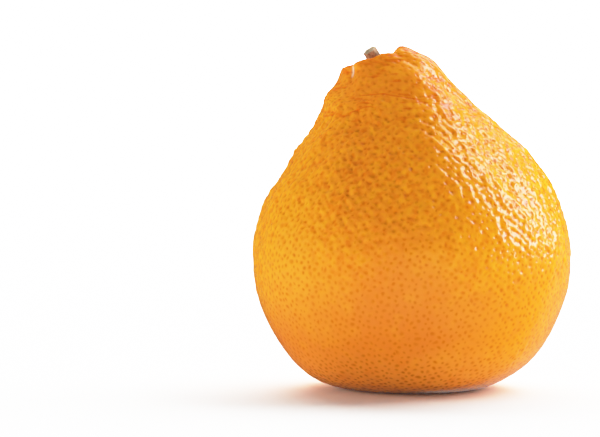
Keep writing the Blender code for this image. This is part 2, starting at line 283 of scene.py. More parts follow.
# %% The meridian
FRUIT_RADIUS = 37.3 * MM
EQUATOR_HEIGHT = 32.0 * MM
FLAT_RADIUS = 13.0 * MM
HEEL_POWER = 2.05
SCAR_RADIUS = 3.5 * MM
SCAR_DEPTH = 0.8 * MM
SHOULDER_RADIUS = 27.6 * MM
SHOULDER_HEIGHT = 54.6 * MM
NECK_RADIUS = 15.5 * MM
NECK_HEIGHT = 68.4 * MM
RIM_RADIUS = 6.9 * MM
RIM_HEIGHT = 77.6 * MM
RIM_FLARE = 2.2 * MM
RIM_DROP = 1.6 * MM
CRATER_RADIUS = 4.4 * MM
CRATER_DEPTH = 2.6 * MM
WALL_FLARE = 0.9 * MM
WALL_DROP = 0.7 * CRATER_DEPTH
SCAR_SAMPLES = 60
HEEL_SAMPLES = 500
UPPER_SAMPLES = 1200
MERIDIAN_SAMPLES = 4000


def rising_spline(points, count):
    """A cubic spline on the chord lengths of the points, which starts straight up and ends without a bend."""
    points = np.array(points)
    knots = np.concatenate([[0.0], np.cumsum(np.linalg.norm(np.diff(points, axis=0), axis=1))])
    gaps = np.diff(knots)[:, None]
    slopes = np.diff(points, axis=0) / gaps
    size = len(points)
    system = np.eye(size)
    rhs = np.zeros_like(points)
    system[0, :2] = 2.0 * gaps[0, 0], gaps[0, 0]
    rhs[0] = 6.0 * (slopes[0] - np.array([0.0, 1.0]))
    for i in range(1, size - 1):
        system[i, i - 1 : i + 2] = gaps[i - 1, 0], 2.0 * (gaps[i - 1, 0] + gaps[i, 0]), gaps[i, 0]
        rhs[i] = 6.0 * (slopes[i] - slopes[i - 1])
    curvature = np.linalg.solve(system, rhs)
    at = np.linspace(0.0, knots[-1], count)
    span = np.clip(np.searchsorted(knots, at, side="right") - 1, 0, size - 2)
    length = gaps[span]
    ahead = (at - knots[span])[:, None] / length
    behind = 1.0 - ahead
    bowed = (behind**3 - behind) * curvature[span] + (ahead**3 - ahead) * curvature[span + 1]
    return behind * points[span] + ahead * points[span + 1] + bowed * length**2 / 6.0


def meridian():
    """Radius and height at even lengths along the meridian, from the flat's middle to the crater's.

    The scar is a cosine dip, the heel a quarter of a superellipse from the flat to the widest place, and the
    rest a spline through the shoulder, the neck, the rim and the crater's wall, with the floor level.
    """
    scar = np.linspace(0.0, 1.0, SCAR_SAMPLES)
    quarter = np.linspace(0.0, 0.25 * TURN, HEEL_SAMPLES)
    heel_radius = FLAT_RADIUS + (FRUIT_RADIUS - FLAT_RADIUS) * np.sin(quarter) ** (2.0 / HEEL_POWER)
    heel_height = EQUATOR_HEIGHT * (1.0 - np.maximum(np.cos(quarter), 0.0) ** (2.0 / HEEL_POWER))
    upper = rising_spline(
        [
            (FRUIT_RADIUS, EQUATOR_HEIGHT),
            (SHOULDER_RADIUS, SHOULDER_HEIGHT),
            (NECK_RADIUS, NECK_HEIGHT),
            (RIM_RADIUS + RIM_FLARE, RIM_HEIGHT - RIM_DROP),
            (RIM_RADIUS, RIM_HEIGHT),
            (CRATER_RADIUS + WALL_FLARE, RIM_HEIGHT - WALL_DROP),
            (CRATER_RADIUS, RIM_HEIGHT - CRATER_DEPTH),
        ],
        UPPER_SAMPLES,
    )
    floor = RIM_HEIGHT - CRATER_DEPTH
    radius = np.concatenate([scar * SCAR_RADIUS, heel_radius[1:], upper[1:, 0], [0.0]])
    dip = SCAR_DEPTH * (0.5 + 0.5 * np.cos(math.pi * scar))
    height = np.concatenate([dip, heel_height[1:], upper[1:, 1], [floor]])
    length = np.concatenate([[0.0], np.cumsum(np.hypot(np.diff(radius), np.diff(height)))])
    even = np.linspace(0.0, length[-1], MERIDIAN_SAMPLES)
    return np.interp(even, length, radius), np.interp(even, length, height), even


CURVE = meridian()
CREST_AT = CURVE[2][np.argmax(CURVE[1])]
print(f"meridian: {CURVE[2][-1] / MM:.1f} mm long, its crest {CREST_AT / MM:.1f} mm along")

# %% [markdown]
# No fruit is truly turned. Slow swells run over the whole body and coarser lumps over the shoulder and neck,
# and furrows run out from the crater between lobes of the rim, where the peel puckered as the stalk pulled on
# it. Sums of plane waves in random directions give the swells and lumps, since they have no seam, unlike a
# picture wrapped round the fruit. Then the neck leans over: each level section is shifted sideways, the
# further the higher it is, and the topmost ones are tilted.

# %% The relief that the solid has too
LEAN_SIDE = math.radians(172.0)
LEAN_SHIFT = 9.5 * MM
LEAN_FROM = 46.5 * MM
LEAN_POWER = 2.2
RIM_SLOPE = math.radians(16.0)
SLOPE_FROM = 65.5 * MM
SWELL_HEIGHT = 0.35 * MM
SWELL_LENGTH = 24.0 * MM
SWELL_SEED = 3
LUMP_HEIGHT = 0.22 * MM
LUMP_LENGTH = 8.5 * MM
LUMP_SEED = 8
WAVES = 14
WAVE_RANGE = (0.75, 1.35)

# Where relief fades in, from and to: two lengths down from the crest, a radius, and two heights.
RIM_FADE = (-0.5 * CRATER_DEPTH, 1.5 * CRATER_DEPTH)
WALL_FADE = (-1.6 * CRATER_DEPTH, -0.7 * CRATER_DEPTH)
FLAT_FADE = (FLAT_RADIUS + 1.5 * MM, FLAT_RADIUS + 12.0 * MM)
HEEL_FADE = (0.3 * EQUATOR_HEIGHT, EQUATOR_HEIGHT)
LUMP_FADE = (0.5 * EQUATOR_HEIGHT, SHOULDER_HEIGHT)

# Furrows: side in degrees (0 is +X, -90 faces the camera), depth and reach below the rim in millimetres.
FURROWS = (
    (-137.0, 0.5, 11.0),
    (-92.0, 0.25, 10.0),
    (-50.0, 0.4, 12.0),
    (22.0, 0.6, 15.0),
    (48.0, 1.0, 19.0),
    (82.0, 0.7, 12.0),
    (116.0, 1.1, 17.0),
    (150.0, 0.8, 14.0),
)
FURROW_WIDTH = math.radians(9.0)
FURROW_FULL = 0.15

# Lobes of the rim, and one dip in it: side in degrees and height in millimetres.
LOBES = (
    (-6.0, 0.7),
    (-172.0, -0.4),
    (62.0, 0.5),
    (99.0, 0.4),
)
LOBE_WIDTH = math.radians(24.0)
LOBE_REACH = 5.0 * MM

# Swellings and hollows of neck and shoulder: side, height, rise, width, and reach up and down. The side and
# the width are in degrees, the others in millimetres.
SWELLINGS = (
    (178.0, 71.6, 1.2, 35.0, 2.8),
    (180.0, 63.0, -0.9, 40.0, 4.0),
    (0.0, 73.4, 0.4, 45.0, 2.0),
    (0.0, 69.2, -0.35, 45.0, 2.0),
    (0.0, 66.0, 1.0, 40.0, 4.0),
    (0.0, 57.0, 1.0, 40.0, 7.5),
)


def waves(points, wavelength, seed):
    """A smooth random relief of about -1 to 1: plane waves of nearly one length, from all sides, summed."""
    draw = np.random.default_rng(seed)
    directions = draw.normal(size=(WAVES, 3))
    directions /= np.linalg.norm(directions, axis=1, keepdims=True)
    lengths = wavelength * draw.uniform(*WAVE_RANGE, WAVES)
    phases = draw.uniform(0.0, TURN, WAVES)
    turns = points @ (directions * (TURN / lengths)[:, None]).T + phases
    return np.sin(turns).sum(axis=1) / math.sqrt(WAVES)


def angle_from(side, degrees):
    """How far an angle round the fruit is from one in degrees, the short way round."""
    return (side - math.radians(degrees) + math.pi) % TURN - math.pi


def furrow_relief(side, down, width, scale):
    """Gaussian troughs across each furrow's side, which fade out at its reach below the rim."""
    relief = np.zeros_like(side)
    for degrees, depth, reach in FURROWS:
        fade = 1.0 - smoothstep(FURROW_FULL * reach * MM, reach * MM, down)
        relief -= scale * depth * MM * np.exp(-((angle_from(side, degrees) / width) ** 2)) * fade
    return relief


def lobe_relief(side, down):
    """Gaussian swellings of the rim, across each lobe's side and down from the crest."""
    relief = np.zeros_like(side)
    fade = np.exp(-((down / LOBE_REACH) ** 2))
    for degrees, height in LOBES:
        relief += height * MM * np.exp(-((angle_from(side, degrees) / LOBE_WIDTH) ** 2)) * fade
    return relief


def swelling_relief(side, z):
    """Swellings and hollows: Gaussians of the angle from their own side and of the height from their own."""
    relief = np.zeros_like(side)
    for degrees, height, rise, width, reach in SWELLINGS:
        across = angle_from(side, degrees) / math.radians(width)
        relief += rise * MM * np.exp(-(across**2) - ((z / MM - height) / reach) ** 2)
    return relief


def lean(points):
    """Shifts each level section of the neck by a power of its height, and slopes the highest ones."""
    moved = points.copy()
    across = np.array([math.cos(LEAN_SIDE), math.sin(LEAN_SIDE)])
    height = points[:, 2]
    rise = np.maximum(height - LEAN_FROM, 0.0) / (RIM_HEIGHT - LEAN_FROM)
    moved[:, :2] += (LEAN_SHIFT * rise**LEAN_POWER)[:, None] * across
    slope = math.tan(RIM_SLOPE) * smoothstep(SLOPE_FROM, RIM_HEIGHT - CRATER_DEPTH, height)
    moved[:, 2] -= slope * (points[:, :2] @ across)
    return moved


# %% [markdown]
# The peel is now a function of two parameters, the angle round the fruit and the length along the meridian.
# One function gives the plain place of each pair and the way out of the peel there, and everything raised or
# sunk is added along that way. Keeping the two apart lets the oil glands be spread over the plain form, where
# distances are easy, before any of them is dented.

# %% Places on the plain fruit


def plain_places(side, along):
    """Arrays by name: the place, its radius and height, the way out, and the length down from the crest."""
    radius, height, length = CURVE
    rho = np.interp(along, length, radius)
    z = np.interp(along, length, height)
    return {
        "side": side,
        "along": along,
        "rho": rho,
        "z": z,
        "outward": np.interp(along, length, np.gradient(height, length)),
        "upward": -np.interp(along, length, np.gradient(radius, length)),
        "place": np.stack([rho * np.cos(side), rho * np.sin(side), z], axis=1),
        "down": CREST_AT - along,
    }


def off_crater_floor(at):
    """0 on the floor of the crater to 1 from the middle of its wall on."""
    return smoothstep(*WALL_FADE, at["down"])


def main_relief(at):
    """Swells, lumps, furrows, lobes and swellings at plain places, as far as each kind of relief reaches."""
    outside = smoothstep(*RIM_FADE, at["down"])
    off_flat = np.maximum(smoothstep(*FLAT_FADE, at["rho"]), smoothstep(*HEEL_FADE, at["z"]))
    pebbled = smoothstep(*LUMP_FADE, at["z"])
    relief = SWELL_HEIGHT * waves(at["place"], SWELL_LENGTH, SWELL_SEED) * off_flat * outside
    relief += LUMP_HEIGHT * waves(at["place"], LUMP_LENGTH, LUMP_SEED) * pebbled * outside
    furrows = furrow_relief(at["side"], at["down"], FURROW_WIDTH, 1.0)
    relief += (furrows + lobe_relief(at["side"], at["down"])) * off_crater_floor(at)
    relief += swelling_relief(at["side"], at["z"]) * outside
    return relief


def raised(at, relief):
    """Places with the relief added along the way out and the neck leant over, none below the table."""
    rho = at["rho"] + relief * at["outward"]
    z = np.maximum(at["z"] + relief * at["upward"], 0.0)
    return lean(np.stack([rho * np.cos(at["side"]), rho * np.sin(at["side"]), z], axis=1))


# %% [markdown]
# ## A grid over the whole fruit
#
# A grid of meridians and parallels would crowd at both ends and leave the middle coarse. The faces of a cube,
# blown up to a sphere, give six grids of nearly square cells with no crowded pole. The sphere is then laid on
# the fruit so that equal areas stay equal: the height on the sphere is the share of the peel's area that lies
# below. With 128 cells along each edge the cells are about 0.4 mm, a quarter of the distance between glands.

# %% Lay the grid
GRID = 128
AXES = ((0, 1, 2), (1, 2, 0), (2, 0, 1))


def cube_sphere(count):
    """Directions all round and the four-sided faces between them.

    The two parameters of each cube face are angles from -45 to 45 degrees, and their tangents are the place
    on it. Six such grids are pushed out to the unit sphere and welded where they meet.
    """
    ticks = np.tan(np.linspace(-0.125 * TURN, 0.125 * TURN, count + 1))
    across, up = np.meshgrid(ticks, ticks, indexing="ij")
    number = np.arange((count + 1) ** 2).reshape(count + 1, count + 1)
    cells = np.stack([number[:-1, :-1], number[1:, :-1], number[1:, 1:], number[:-1, 1:]], axis=-1)
    cells = cells.reshape(-1, 4)
    corners, faces = [], []
    for out_axis, across_axis, up_axis in AXES:
        for sign in (-1.0, 1.0):
            grid = np.empty((number.size, 3))
            grid[:, out_axis] = sign
            grid[:, across_axis] = across.ravel()
            grid[:, up_axis] = sign * up.ravel()
            faces.append(cells + len(corners) * number.size)
            corners.append(grid)
    corners = np.concatenate(corners)
    _, first, same = np.unique(np.round(corners, 6), axis=0, return_index=True, return_inverse=True)
    ways = corners[first] / np.linalg.norm(corners[first], axis=1, keepdims=True)
    return ways, same.reshape(-1)[np.concatenate(faces)]


def on_fruit(ways):
    """Angles and meridian lengths of directions, by the area of peel below each level."""
    radius, _, length = CURVE
    area = np.concatenate([[0.0], np.cumsum(0.5 * (radius[1:] + radius[:-1]))])
    share = 0.5 * (1.0 + np.clip(ways[:, 2], -1.0, 1.0))
    along = np.interp(share * area[-1], area, length)
    return np.arctan2(ways[:, 1], ways[:, 0]), along


ways, FACES = cube_sphere(GRID)
GRID_AT = plain_places(*on_fruit(ways))
middle_ways = ways[FACES].mean(axis=1)
middle_ways /= np.linalg.norm(middle_ways, axis=1, keepdims=True)
FACE_AT = plain_places(*on_fruit(middle_ways))
print(f"grid: {len(ways)} points, {2 * len(FACES)} triangles")

# %% [markdown]
# ## Oil glands
#
# Each dot in citrus peel is a gland full of oil under a thin skin. They are a little under 2 mm apart, and on
# the shoulder and neck, where the peel is thick, they are slightly wider apart and sink into real pits. They
# are spread as seeds are on a sunflower head, each one turned by the golden angle from the last, then nudged
# at random and moved once to the middle of the peel that is nearest to them. That evens out their distances
# a little but leaves no rows, as in the real peel. Places are bent by a smooth random shift before their
# distance to a gland is measured, so that no pit is a plain circle.

# %% Spread the glands
SPACING_LOW = 1.64 * MM
SPACING_HIGH = 1.74 * MM
SPACING_CRATER = 1.7 * MM
SPACING_FADE = (0.9 * EQUATOR_HEIGHT, SHOULDER_HEIGHT)
CRATER_NEAR = 6.0 * MM
GLAND_SEED = 21
JITTER = 0.36
GOLDEN_ANGLE = math.pi * (3.0 - math.sqrt(5.0))
HEXAGON_AREA = 0.5 * math.sqrt(3.0)
EVENING_ROUNDS = 1
SLICES = 120
WINDOW = 4.0 * MM
BEND = 0.20 * MM
BEND_LENGTH = 3.4 * MM
BEND_SEED = 40


def gland_spacing(z, down):
    """Distance between glands: finest on the lower half, widest on the shoulder, in between at the crater."""
    wide = smoothstep(*SPACING_FADE, z)
    spacing = SPACING_LOW + (SPACING_HIGH - SPACING_LOW) * wide
    near_crater = 1.0 - smoothstep(0.0, CRATER_NEAR, down)
    return spacing + (SPACING_CRATER - spacing) * near_crater


def bent(places):
    """Places shifted by three smooth random waves, one along each axis."""
    shifts = [waves(places, BEND_LENGTH, BEND_SEED + axis) for axis in range(3)]
    return places + BEND * np.stack(shifts, axis=1)


def nearest_glands(along, places, glands):
    """The number of the gland nearest to each place.

    The places are taken in slices along the meridian, and a slice looks only at glands within a window of it.
    """
    nearest = np.empty(len(along), int)
    for part in np.array_split(np.argsort(along), SLICES):
        low, high = along[part[[0, -1]]] + np.array([-WINDOW, WINDOW])
        close = np.flatnonzero((glands["along"] > low) & (glands["along"] < high))
        apart = np.linalg.norm(places[part, None] - glands["place"][None, close], axis=2)
        nearest[part] = close[np.argmin(apart, axis=1)]
    return nearest


def spread_glands():
    """Plain places of all glands: a sunflower of even weight, jittered, then evened out."""
    radius, height, length = CURVE
    weight = radius / gland_spacing(height, CREST_AT - length) ** 2
    filled = np.concatenate([[0.0], np.cumsum(0.5 * (weight[1:] + weight[:-1]) * np.diff(length))])
    count = int(TURN * filled[-1] / HEXAGON_AREA)
    draw = np.random.default_rng(GLAND_SEED)
    nudge = draw.uniform(-JITTER, JITTER, (2, count))
    along = np.interp((np.arange(count) + 0.5) / count * filled[-1], filled, length)
    here = plain_places(np.zeros(count), along)
    spacing = gland_spacing(here["z"], here["down"])
    along = np.clip(along + nudge[0] * spacing, 0.0, length[-1])
    side = np.arange(count) * GOLDEN_ANGLE + nudge[1] * spacing / np.maximum(here["rho"], 0.5 * MM)
    glands = plain_places(side, along)
    for _ in range(EVENING_ROUNDS):
        owner = nearest_glands(FACE_AT["along"], FACE_AT["place"], glands)
        owned = np.maximum(np.bincount(owner, minlength=count), 1)
        x, y, mean_along = (
            np.bincount(owner, weights=value, minlength=count) / owned
            for value in (FACE_AT["place"][:, 0], FACE_AT["place"][:, 1], FACE_AT["along"])
        )
        kept = mean_along > 0.0
        side = np.where(kept, np.arctan2(y, x), glands["side"])
        along = np.where(kept, mean_along, glands["along"])
        glands = plain_places(side, along)
    return glands


GLANDS = spread_glands()
GRID_BENT = bent(GRID_AT["place"])
FACE_BENT = bent(FACE_AT["place"])
print(f"glands: {len(GLANDS['along'])}")

# %% [markdown]
# A gland's pit is a soft dent, deeper on the shoulder and as wide as its gland is large. Low bumps about as
# wide as the pits are apart lie across them. Where the peel is thick they are higher, and shallow wrinkles a
# few millimetres long join the pits. Wrinkles are lines where a random wave passes through zero, since those
# wander and branch as real ones do, and a second wave fades them in and out. All this leaves peaks and ridges
# that catch the light, and breaks a softbox's light into a net of bright spots instead of one bright patch.

# %% Dent the peel
PIT_LOW = 0.06 * MM
PIT_HIGH = 0.24 * MM
PIT_WIDTH = 0.37
PIT_STRETCH = 1.10
SIZE_LOW = 0.80
SIZE_HIGH = 1.16
SIZE_LEAN = 1.1
GRAIN_LENGTH = 16.0 * MM
GRAIN_SEED = 5
BUMP_HEIGHT = 0.105 * MM
BUMP_LENGTH = 1.9 * MM
BUMP_ON_SMOOTH = 0.25
BUMP_SEED = 12
WRINKLE_DEPTH = 0.07 * MM
WRINKLE_LENGTH = 5.2 * MM
WRINKLE_PATCHES = 1.3 * WRINKLE_LENGTH
WRINKLE_SHARPNESS = 0.30
WRINKLE_SEED = 51
CREASE_WIDTH = math.radians(3.2)
CREASE_SHARE = 0.25

# Where pebbling and dents fade in, from and to: two heights, a value of the wave, a length down from the
# crest, and a radius. On the neck the pebbling is less again by NECK_SMOOTHER.
PEBBLE_FADE = (0.45 * EQUATOR_HEIGHT, 0.85 * SHOULDER_HEIGHT)
NECK_FADE = (NECK_HEIGHT - 5.0 * MM, NECK_HEIGHT + 4.0 * MM)
WRINKLE_FADE = (-0.3, 0.9)
DENT_FADE = (-0.4 * CRATER_DEPTH, 0.8 * CRATER_DEPTH)
BUMP_FADE = (FLAT_RADIUS, FLAT_RADIUS + 4.0 * MM)
PEBBLE_PATCHES = 0.10
NECK_SMOOTHER = 0.35

# Creases that run round the front of the neck: stations of side in degrees and height in millimetres. Each
# fades over CREASE_END degrees at both ends, and off all of them CREASE_FAR stands for the distance.
NECK_CREASES = (
    ((-128.0, 69.9), (-100.0, 69.4), (-92.0, 68.6), (-66.0, 66.7)),
    ((-137.0, 64.4), (-116.0, 66.4), (-105.0, 66.0)),
    ((-168.0, 64.1), (-139.0, 64.6)),
)
CREASE_END = 9.0
CREASE_FAR = 10.0 * MM

# A painted highlight: a pale line down the rim, where a crease catches the light. The side of its upper end
# in degrees, and how far round it slants on its way down. In millimetres, the heights of its ends, how far
# each end fades, and its half width.
HIGHLIGHT_LINE_SIDE = -134.0
HIGHLIGHT_LINE_SLANT = math.radians(5.5)
HIGHLIGHT_LINE_HEIGHTS = (75.6, 77.6)
HIGHLIGHT_LINE_FADES = (0.3, 0.2)
HIGHLIGHT_LINE_WIDTH = 0.34


def gland_sizes():
    """Each gland's own size: a random share to a power just above 1, so that slightly more are small."""
    draw = np.random.default_rng(GLAND_SEED + 1)
    share = draw.uniform(0.0, 1.0, len(GLANDS["along"])) ** SIZE_LEAN
    return SIZE_LOW + (SIZE_HIGH - SIZE_LOW) * share


def pebbling(at):
    """0 on the smooth lower half to 1 on the shoulder, less on the very neck, with slow patches."""
    patches = PEBBLE_PATCHES * waves(at["place"], SWELL_LENGTH, GRAIN_SEED)
    rise = smoothstep(*PEBBLE_FADE, at["z"] + patches * SHOULDER_HEIGHT)
    neck = 1.0 - NECK_SMOOTHER * smoothstep(*NECK_FADE, at["z"])
    return rise * neck


def wrinkles(at):
    """1 in the bottom of a wrinkle and 0 off it: a Gaussian of one wave, where another wave is high."""
    line = waves(at["place"], WRINKLE_LENGTH, WRINKLE_SEED)
    here = smoothstep(*WRINKLE_FADE, waves(at["place"], WRINKLE_PATCHES, WRINKLE_SEED + 1))
    return np.exp(-((line / WRINKLE_SHARPNESS) ** 2)) * here


def gland_relief(at, places):
    """Pits, wrinkles and low bumps as one height above the plain peel, and how hollow it is, from 0 to 1.

    A pit is a Gaussian of the distance from its gland, stretched along a grain that turns slowly.
    """
    owner = nearest_glands(at["along"], places, GLANDS)
    size = gland_sizes()[owner]
    spacing = gland_spacing(at["z"], at["down"])
    apart = places - GLANDS["place"][owner]
    side = at["side"]
    around = np.stack([-np.sin(side), np.cos(side), np.zeros_like(side)], axis=1)
    upwards = np.stack([-at["upward"] * np.cos(side), -at["upward"] * np.sin(side), at["outward"]], axis=1)
    grain = 0.5 * TURN * waves(at["place"], GRAIN_LENGTH, GRAIN_SEED)
    u = (apart * around).sum(axis=1)
    v = (apart * upwards).sum(axis=1)
    lengthways = u * np.cos(grain) + v * np.sin(grain)
    crossways = v * np.cos(grain) - u * np.sin(grain)
    reach = np.sqrt((lengthways / PIT_STRETCH) ** 2 + (crossways * PIT_STRETCH) ** 2) / spacing
    pebbled = pebbling(at)
    depth = (PIT_LOW + (PIT_HIGH - PIT_LOW) * pebbled) * size**2
    pits = depth * np.exp(-((reach / (PIT_WIDTH * size)) ** 2))
    lines = WRINKLE_DEPTH * pebbled * wrinkles(at)
    bumps = BUMP_HEIGHT * (BUMP_ON_SMOOTH + pebbled) * waves(at["place"], BUMP_LENGTH, BUMP_SEED)
    outside = smoothstep(*DENT_FADE, at["down"])
    off_flat = smoothstep(*BUMP_FADE, at["rho"])
    relief = (bumps * off_flat - lines - pits) * outside
    return relief, np.clip((pits + lines) / PIT_HIGH, 0.0, 1.0) * outside


def crease_relief(at):
    """A sharp crease along the bottom of each furrow."""
    return furrow_relief(at["side"], at["down"], CREASE_WIDTH, CREASE_SHARE) * off_crater_floor(at)


def crease_offset(at):
    """For each place, the distance up from the nearest crease of the neck, and how strong it is there."""
    degrees = np.degrees(at["side"])
    apart = np.full_like(degrees, CREASE_FAR)
    strength = np.zeros_like(degrees)
    for stations in NECK_CREASES:
        sides, heights = np.array(stations).T
        above = (at["z"] - np.interp(degrees, sides, heights) * MM) / np.maximum(at["outward"], 0.3)
        here = smoothstep(sides[0], sides[0] + CREASE_END, degrees)
        here = here * (1.0 - smoothstep(sides[-1] - CREASE_END, sides[-1], degrees))
        nearer = (np.abs(above) < np.abs(apart)) & (here > 0.0)
        apart = np.where(nearer, above, apart)
        strength = np.where(nearer, here, strength)
    return apart, strength


def highlight_line_share(at):
    """1 along the painted highlight line in the rim: a Gaussian across it, which fades beyond its ends."""
    low, high = (height * MM for height in HIGHLIGHT_LINE_HEIGHTS)
    low_fade, high_fade = (fade * MM for fade in HIGHLIGHT_LINE_FADES)
    slant = HIGHLIGHT_LINE_SLANT * (high - at["z"]) / (high - low)
    across = (angle_from(at["side"], HIGHLIGHT_LINE_SIDE) + slant) * at["rho"] / (HIGHLIGHT_LINE_WIDTH * MM)
    ends = smoothstep(low - low_fade, low + low_fade, at["z"])
    ends = ends * (1.0 - smoothstep(high - high_fade, high + high_fade, at["z"]))
    return np.exp(-(across**2)) * ends * (at["down"] > 0.0)


fine_relief, HOLLOW = gland_relief(GRID_AT, GRID_BENT)
points = raised(GRID_AT, main_relief(GRID_AT) + fine_relief + crease_relief(GRID_AT))

# The peel's box gets the same middle as the solid's, seen from above.
CENTRE = 0.5 * (points.min(axis=0) + points.max(axis=0))
CENTRE[:2] -= np.array([0.5 * (low + high) for low, high in zip(*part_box("fruit"))])[:2]
CENTRE[2] = 0.0
points -= CENTRE
print("peel's box in mm:", np.round(points.min(axis=0) / MM, 1), np.round(points.max(axis=0) / MM, 1))

# %% [markdown]
# The mesh is filled in one go. The shader needs to know where each spot lies within its gland, so every face
# corner carries its offset from the gland of its face. Between corners the offset is exact, so a dot of oil
# can be drawn sharper than the grid. Other numbers carried along are a tone of each gland's own, how pebbled
# the peel is, how deep in a pit, a furrow or the crater, where shade is painted, and where the creases, the
# painted highlight line in the rim and the scar are.

# %% Build the peel
TONE_SEED = 30
FURROW_DEEP = 1.1 * MM
CRATER_FADE = (-0.4 * CRATER_DEPTH, 0.3 * CRATER_DEPTH)
SCAR_FADE = (0.3 * SCAR_RADIUS, 0.75 * SCAR_RADIUS)


def add_piece(name, corners, faces, material):
    """A smooth-shaded mesh object at the origin, which rides on the one body."""
    mesh = bpy.data.meshes.new(name)
    mesh.from_pydata(corners, [], faces)
    mesh.shade_smooth()
    mesh.materials.append(material)
    piece = bpy.data.objects.new(name, mesh)
    bpy.context.scene.collection.objects.link(piece)
    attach(piece, "root")
    return piece


def carry(mesh, name, kind, domain, values):
    """Stores one number or vector for each point, face or corner under a name that a shader can read."""
    attribute = mesh.attributes.new(name, kind, domain)
    field = "vector" if kind == "FLOAT_VECTOR" else "value"
    attribute.data.foreach_set(field, np.ascontiguousarray(values, np.float32).ravel())


def carry_gland_facts(mesh):
    """Gives the peel's mesh what its shader reads. Offsets from a gland are in sizes of that gland."""
    owner = nearest_glands(FACE_AT["along"], FACE_BENT, GLANDS)
    size = gland_sizes()[owner]
    offset = (GRID_BENT[FACES] - GLANDS["place"][owner][:, None]) / size[:, None, None]
    tone = np.random.default_rng(TONE_SEED).uniform(0.0, 1.0, len(GLANDS["along"]))
    furrows = furrow_relief(GRID_AT["side"], GRID_AT["down"], FURROW_WIDTH, 1.0)
    crater = 1.0 - smoothstep(*CRATER_FADE, GRID_AT["down"])
    blossom = GRID_AT["along"] < 2.0 * SCAR_RADIUS
    scar = np.where(blossom, 1.0 - smoothstep(*SCAR_FADE, GRID_AT["rho"]), 0.0)
    crease_apart, crease_strength = crease_offset(GRID_AT)
    carry(mesh, "gland_offset", "FLOAT_VECTOR", "CORNER", offset)
    carry(mesh, "gland_tone", "FLOAT", "FACE", tone[owner])
    facts = {
        "pebbling": pebbling(GRID_AT),
        "hollow": HOLLOW,
        "furrow": np.clip(-furrows / FURROW_DEEP, 0.0, 1.0),
        "crater": crater,
        "split": highlight_line_share(GRID_AT),
        "crease_apart": crease_apart,
        "crease_strength": crease_strength,
        "scar": scar,
    }
    for name, values in facts.items():
        carry(mesh, name, "FLOAT", "POINT", values)


# %% [markdown]
# ## The finish of the peel
#
# Satsuma peel is thin, oily and lightly waxed. Light enters it and comes out warm a few millimetres away,
# which is subsurface scattering, and a clear skin of wax gives it a gloss with a typical index of 1.45. Its
# orange is not even: patches lean to yellow or to red, and each gland is a darker dot, fainter on the
# shoulder.
# Light and shade are painted in as well: painted shade in the pits, furrows, creases and the crater, painted
# light on the left side, the lit right side, the shoulder and the heel, and a painted highlight line in the
# rim. One big picture could hold all that, but layers can be changed one at a time. Each is a colour and its
# share, and the share is a product of steps along plain maps: a noise, a coordinate, or a number that the
# mesh carries.

# %% Colours and layers of the peel
PEEL_MIDDLE = "E68025"
PEEL_YELLOW = "F39824"
PEEL_RED = "EB8020"
# Painted light: a yellow glow on the left side of the body.
PEEL_PAINTED_GLOW = "F5A522"
# Painted light: the right side, which the softboxes light, is yellower.
PEEL_PAINTED_LIT_SIDE = "F49208"
# The shoulder's yellower peel, with painted light on top of it.
PEEL_PEBBLED_AND_PAINTED_LIGHT = "FDA21A"
PEEL_VEIN = "F9A81C"
# Painted light: a paler heel, for light thrown back up by the white table.
PEEL_PAINTED_BOUNCE_LIGHT = "FFA038"
# The peel's own deeper orange for random blotches, and painted shade in furrows, creases and the crater.
PEEL_DEEP_AND_SHADE = "DC6208"
GLAND_DOT = "CF6E02"
# Painted shade in the pits and wrinkles.
PIT_PAINTED_SHADE = "E0700C"
SCAR_BROWN = "8A5A2A"
# Painted highlight: a pale line in the rim.
HIGHLIGHT_LINE_PALE = "F9D9B8"
WAX_GRAIN_HEIGHT = 0.085 * MM
HOLE_DEPTH = 0.06 * MM
STREAK_DEPTH = 0.08 * MM
STREAK_STRETCH = 4.5

# What the mesh carries, one number each.
CARRIED = (
    "gland_tone",
    "pebbling",
    "hollow",
    "furrow",
    "crater",
    "split",
    "crease_apart",
    "crease_strength",
    "scar",
)

# Noises: the length of their marks, and how much finer detail they have. Level marks are STREAK_STRETCH times
# shorter upwards than that.
NOISES = {
    "patches": (22.0 * MM, 3.0),
    "flecks": (3.5 * MM, 3.0),
    "blotches": (1.5 * MM, 1.5),
    "wax grain": (1.1 * MM, 2.0),
    "level marks": (5.0 * MM, 1.5),
}

